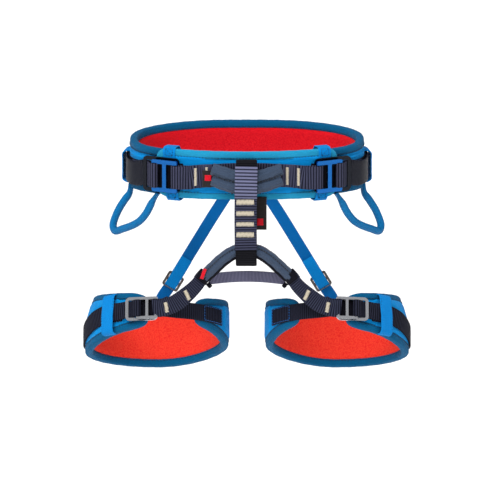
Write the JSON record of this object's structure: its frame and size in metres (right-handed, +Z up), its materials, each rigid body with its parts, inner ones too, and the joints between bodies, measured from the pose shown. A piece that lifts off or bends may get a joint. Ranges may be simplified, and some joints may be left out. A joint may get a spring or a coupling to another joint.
{
  "type": "climbing harness",
  "caption": "Climbing harness with a padded waist belt, slide buckles, sleeved tie-in points, a belay loop, adjustable leg loops, elastic risers and gear loops.",
  "frame": {"origin": "middle of the waist opening, at mid-height of the waist belt's front", "axes": "+X towards the wearer's left side, -Y to the front where the belay loop is, +Z up"},
  "size_m": [0.4246, 0.2242, 0.3204],
  "materials": {
    "shell_fabric": "bright blue woven nylon",
    "foam": "closed-cell foam",
    "lining": "soft red-orange mesh lining",
    "binding": "teal edge tape",
    "webbing": "black ribbed webbing with light bar tacks",
    "sleeve": "grey-blue woven sleeve",
    "cross_strap": "grey-violet elastic",
    "elastic": "blue elastic",
    "tube_fabric": "blue herringbone-woven tube",
    "black_alloy": "black anodised alloy",
    "blue_alloy": "blue anodised alloy",
    "polished_steel": "polished alloy",
    "dark_steel": "dark steel",
    "label": "woven label with a plain red field"
  },
  "bodies": {
    "root": {"waist_pad_shell": "shell_fabric", "waist_pad_foam": "foam", "waist_pad_lining": "lining", "waist_pad_binding": "binding", "front_pad_shell": "shell_fabric", "front_pad_lining": "lining", "front_pad_binding": "binding", "waist_webbing_back": "webbing", "waist_webbing_front": "webbing", "waist_tie_in_sleeve": "sleeve", "lower_tie_in_sleeve": "sleeve", "cross_strap": "cross_strap", "waist_label": "label", "hanging_label": "label", "left_webbing_tail": "webbing", "left_pad_keeper": "elastic", "left_webbing_keeper": "elastic", "left_waist_buckle_frame": "black_alloy", "left_riser_upper": "elastic", "left_riser_anchor": "webbing", "right_webbing_tail": "webbing", "right_pad_keeper": "elastic", "right_webbing_keeper": "elastic", "right_waist_buckle_frame": "black_alloy", "right_riser_upper": "elastic", "right_riser_anchor": "webbing"},
    "belay_loop": {"belay_loop": "webbing"},
    "left_leg_loop": {"left_leg_pad_shell": "shell_fabric", "left_leg_pad_foam": "foam", "left_leg_pad_lining": "lining", "left_leg_pad_binding": "binding", "left_leg_webbing": "webbing", "left_leg_keeper": "elastic", "left_leg_inner_strap": "webbing", "left_leg_buckle_frame": "polished_steel", "left_bridge_strap": "webbing", "left_riser_lower": "elastic"},
    "left_waist_slider": {"left_waist_buckle_slider": "blue_alloy"},
    "left_leg_slider": {"left_leg_buckle_slider": "polished_steel"},
    "left_riser_adjuster": {"left_riser_adjuster": "dark_steel"},
    "left_gear_loop": {"left_gear_loop": "tube_fabric"},
    "right_leg_loop": {"right_leg_pad_shell": "shell_fabric", "right_leg_pad_foam": "foam", "right_leg_pad_lining": "lining", "right_leg_pad_binding": "binding", "right_leg_webbing": "webbing", "right_leg_keeper": "elastic", "right_leg_inner_strap": "webbing", "right_leg_buckle_frame": "polished_steel", "right_bridge_strap": "webbing", "right_riser_lower": "elastic"},
    "right_waist_slider": {"right_waist_buckle_slider": "blue_alloy"},
    "right_leg_slider": {"right_leg_buckle_slider": "polished_steel"},
    "right_riser_adjuster": {"right_riser_adjuster": "dark_steel"},
    "right_gear_loop": {"right_gear_loop": "tube_fabric"}
  },
  "joints": [
    {"name": "belay_loop_slide", "type": "slide", "parent": "root", "child": "belay_loop", "axis": [1, 0, 0], "range_m": [-0.006, 0.006]},
    {"name": "left_leg_swing", "type": "hinge", "parent": "root", "child": "left_leg_loop", "pos_m": [-0.055, -0.1115, -0.125], "axis": [1, 0, 0], "range_deg": [-12, 12], "stiffness_Nm_per_rad": 3, "deforming": ["left_riser_upper"]},
    {"name": "left_waist_slider_tilt", "type": "hinge", "parent": "root", "child": "left_waist_slider", "pos_m": [-0.09213, -0.09571, -0.0035], "axis": [0, 0, 1], "range_deg": [0, 18]},
    {"name": "left_leg_slider_tilt", "type": "hinge", "parent": "left_leg_loop", "child": "left_leg_slider", "pos_m": [-0.11662, -0.11536, -0.17051], "axis": [0, 0.454, 0.891], "range_deg": [0, 18]},
    {"name": "left_riser_adjuster_slide", "type": "slide", "parent": "left_leg_loop", "child": "left_riser_adjuster", "axis": [-0.5227, -0.1548, -0.8383], "range_m": [-0.012, 0.012]},
    {"name": "left_gear_loop_lift", "type": "hinge", "parent": "root", "child": "left_gear_loop", "pos_m": [-0.152, -0.013, -0.042], "axis": [-0.4908, 0.8707, -0.0317], "range_deg": [0, 55]},
    {"name": "right_leg_swing", "type": "hinge", "parent": "root", "child": "right_leg_loop", "pos_m": [0.055, -0.1115, -0.125], "axis": [1, 0, 0], "range_deg": [-12, 12], "stiffness_Nm_per_rad": 3, "deforming": ["right_riser_upper"]},
    {"name": "right_waist_slider_tilt", "type": "hinge", "parent": "root", "child": "right_waist_slider", "pos_m": [0.09213, -0.09571, -0.0035], "axis": [0, 0, -1], "range_deg": [0, 18]},
    {"name": "right_leg_slider_tilt", "type": "hinge", "parent": "right_leg_loop", "child": "right_leg_slider", "pos_m": [0.11662, -0.11536, -0.17051], "axis": [0, -0.454, -0.891], "range_deg": [0, 18]},
    {"name": "right_riser_adjuster_slide", "type": "slide", "parent": "right_leg_loop", "child": "right_riser_adjuster", "axis": [0.5227, -0.1548, -0.8383], "range_m": [-0.012, 0.012]},
    {"name": "right_gear_loop_lift", "type": "hinge", "parent": "root", "child": "right_gear_loop", "pos_m": [0.152, -0.013, -0.042], "axis": [-0.4908, -0.8707, 0.0317], "range_deg": [0, 55]}
  ]
}
